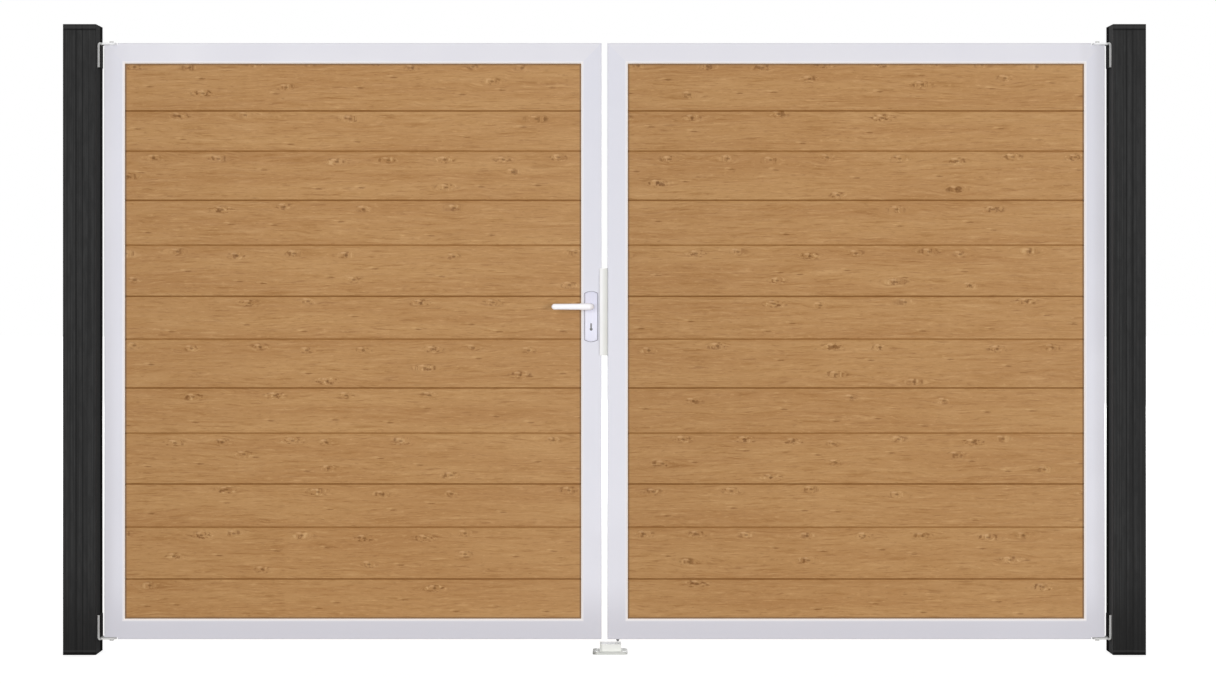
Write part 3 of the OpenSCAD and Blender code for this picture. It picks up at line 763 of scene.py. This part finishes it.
def handle_plate(name, node, out):
    """A plate with soft edges, pierced for the lever's neck and the key, on a thin dark rim that paints the shade
    round its edge.
    """
    low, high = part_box(node)
    foot = LEAF_FACE * out.y
    face = foot + (high.y - low.y) * out.y
    soft, soft_steps = 2.0 * MM, 4
    neck_hole_r = 9.3 * MM
    mesh = bmesh.new()
    rings = [plate_outline(low, high, 0, foot), plate_outline(low, high, 0, face - soft * out.y)]
    for step in range(1, soft_steps + 1):
        a = math.radians(90) * step / soft_steps
        rings.append(plate_outline(low, high, -soft * (1 - math.cos(a)),
                                   face - soft * (1 - math.sin(a)) * out.y))
    outside = ringed(mesh, rings)
    neck = ringed(mesh, [oval(Vector((LEVER.x, y, LEVER.z)), LEFT, UP, neck_hole_r, neck_hole_r)
                         for y in (foot, face)])
    key = ringed(mesh, [keyhole(foot), keyhole(face)])
    fill(mesh, [outside[-1], neck[-1], key[-1]])
    fill(mesh, [outside[0], neck[0], key[0]])
    made = finished(mesh, name, "left_leaf", "lever_metal", PLATE_METAL)
    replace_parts(made, node)
    # A thin dark rim round the plate paints the shade at its edge
    shade_rim_edge, shade_rim_gap = 1.6 * MM, 0.05 * MM
    shade_rim_face = foot + 1.5 * MM * out.y
    mesh = bmesh.new()
    outside = ringed(mesh, [plate_outline(low, high, shade_rim_edge, y) for y in (foot, shade_rim_face)])
    inside = ringed(mesh, [plate_outline(low, high, shade_rim_gap, y) for y in (foot, shade_rim_face)])
    for i in range(2):
        fill(mesh, [outside[i], inside[i]])
    finished(mesh, name + "_shade_rim", "left_leaf", "dark_metal", SHADE_RIM)


lever("lever_grip_front", "front_lever", FRONT)
lever("lever_grip_back", "back_lever", BACK)
handle_plate("lock_plate_front", "front_handle_plate", FRONT)
handle_plate("lock_plate_back", "back_handle_plate", BACK)


# ---- screws ----

def screw(name, place, out, radius, height, body):
    """A domed screw head with a hexagonal socket, standing out from place."""
    side = UP.cross(out) if abs(out.z) < 0.5 else LEFT
    up = out.cross(side)
    points, dome, dome_steps, sunk = 36, math.radians(68), 4, 0.3 * MM
    rings = [oval(place - out * sunk, side, up, radius, radius, count=points)]
    for step in range(dome_steps + 1):
        a = dome * step / dome_steps
        r = radius * (0.35 + 0.65 * math.cos(a))
        rings.append(oval(place + out * height * math.sin(a) / math.sin(dome),
                          side, up, r, r, count=points))
    # The socket's rim and floor: shares of the head's height and radius
    for rise, across in ((0.94, 0.78), (0.30, 0.74)):
        rings.append(hexagon(place + out * height * rise, side, up, radius * across, points))
    loft(name, rings, body, "dark_metal", SCREW)


SCREW_HEIGHT = 1.8 * MM
PLATE_SCREW_INSET = 14 * MM
plate_low, plate_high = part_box("back_handle_plate")
for end, z in (("top", plate_high.z - PLATE_SCREW_INSET),
               ("bottom", plate_low.z + PLATE_SCREW_INSET)):
    screw("lock_plate_screw_" + end, Vector((LEVER.x, plate_high.y, z)),
          BACK, 4.5 * MM, SCREW_HEIGHT, "left_leaf")
RECEIVER_SCREW_X, RECEIVER_SCREW_Y = 42 * MM, 31 * MM
receiver_x = (RECEIVER_LOW.x + RECEIVER_HIGH.x) / 2
receiver_y = (RECEIVER_LOW.y + RECEIVER_HIGH.y) / 2
for number, (across, along) in enumerate(((-1, -1), (-1, 1), (1, -1), (1, 1)), 1):
    place = Vector((receiver_x + across * RECEIVER_SCREW_X,
                    receiver_y + along * RECEIVER_SCREW_Y, RECEIVER_BASE_TOP))
    screw("receiver_screw_%d" % number, place, UP, 5.5 * MM, SCREW_HEIGHT, "posts")


# ---- studio ----

def lamp(name, place, size, power):
    """A rectangular lamp at a place, turned towards the middle of the gate."""
    target = Vector((GATE_X, 0, 0.9))
    data = bpy.data.lights.new(name, "AREA")
    data.shape = "RECTANGLE"
    data.size, data.size_y = size
    data.energy = power
    made = bpy.data.objects.new(name, data)
    made.location = place
    made.rotation_euler = (target - Vector(place)).to_track_quat("-Z", "Y").to_euler()
    bpy.context.scene.collection.objects.link(made)


def camera():
    """Level and square to the gate, with the lens shifted down to its middle."""
    data = bpy.data.cameras.new("camera")
    data.lens = 70.0
    data.sensor_width = 36.0
    data.shift_x = 0.0029
    data.shift_y = -0.0508
    made = bpy.data.objects.new("camera", data)
    made.location = (GATE_X, -7.12, 1.121)
    made.rotation_euler = (math.radians(90), 0, 0)
    bpy.context.scene.collection.objects.link(made)
    bpy.context.scene.camera = made


def seen_by_eye(tree):
    """1 for rays from the camera and for those seen in metal or glass, otherwise 0."""
    path = tree.nodes.new("ShaderNodeLightPath")
    seen = path.outputs["Is Camera Ray"]
    for other in ("Is Glossy Ray", "Is Transmission Ray"):
        either = tree.nodes.new("ShaderNodeMath")
        either.operation = "MAXIMUM"
        tree.links.new(seen, either.inputs[0])
        tree.links.new(path.outputs[other], either.inputs[1])
        seen = either.outputs[0]
    return seen


def sky():
    """White to the eye, and a softer, faintly blue light on the gate."""
    world = bpy.data.worlds.new("studio")
    bpy.context.scene.world = world
    world.use_nodes = True
    tree = world.node_tree
    light = tree.nodes["Background"]
    light.inputs["Color"].default_value = (0.985, 0.985, 1.0, 1)
    light.inputs["Strength"].default_value = 0.42
    white = tree.nodes.new("ShaderNodeBackground")
    white.inputs["Color"].default_value = (1, 1, 1, 1)
    mix = tree.nodes.new("ShaderNodeMixShader")
    tree.links.new(seen_by_eye(tree), mix.inputs[0])
    tree.links.new(light.outputs[0], mix.inputs[1])
    tree.links.new(white.outputs[0], mix.inputs[2])
    tree.links.new(mix.outputs[0], tree.nodes["World Output"].inputs["Surface"])


def floor():
    """A pale floor that stays white to the eye and glows more the further away it is."""
    bpy.ops.mesh.primitive_plane_add(size=80, location=(GATE_X, 0, -0.5 * MM))
    made = bpy.context.object
    made.name = "floor"
    s = Shader("floor", Roughness=0.9, Specular_IOR_Level=0.0)
    s.colour((0.55, 0.55, 0.55, 1))
    away = s.node("ShaderNodeVectorMath", operation="LENGTH")
    s.put(s.node("ShaderNodeTexCoord").outputs["Object"], away.inputs[0])
    glow = s.remap(away.outputs["Value"], 2.5, 7.0, 0.78, 1.0)
    white = s.node("ShaderNodeEmission")
    s.put(s.mul(glow, seen_by_eye(s.tree)), white.inputs["Strength"])
    both = s.node("ShaderNodeAddShader")
    s.put(s.surface.outputs[0], both.inputs[0])
    s.put(white.outputs[0], both.inputs[1])
    s.put(both.outputs[0], s.tree.nodes["Material Output"].inputs["Surface"])
    dress(made, s.material)


camera()
sky()
floor()
lamp("key", (GATE_X - 4.0, -14.0, 2.4), size=(7, 4), power=730)
lamp("fill", (GATE_X + 5.0, -14.0, 1.2), size=(7, 2.4), power=668)
lamp("back", (GATE_X + 2.0, 14.0, 4.0), size=(9, 6), power=1050)
bpy.context.scene.view_settings.view_transform = "Standard"
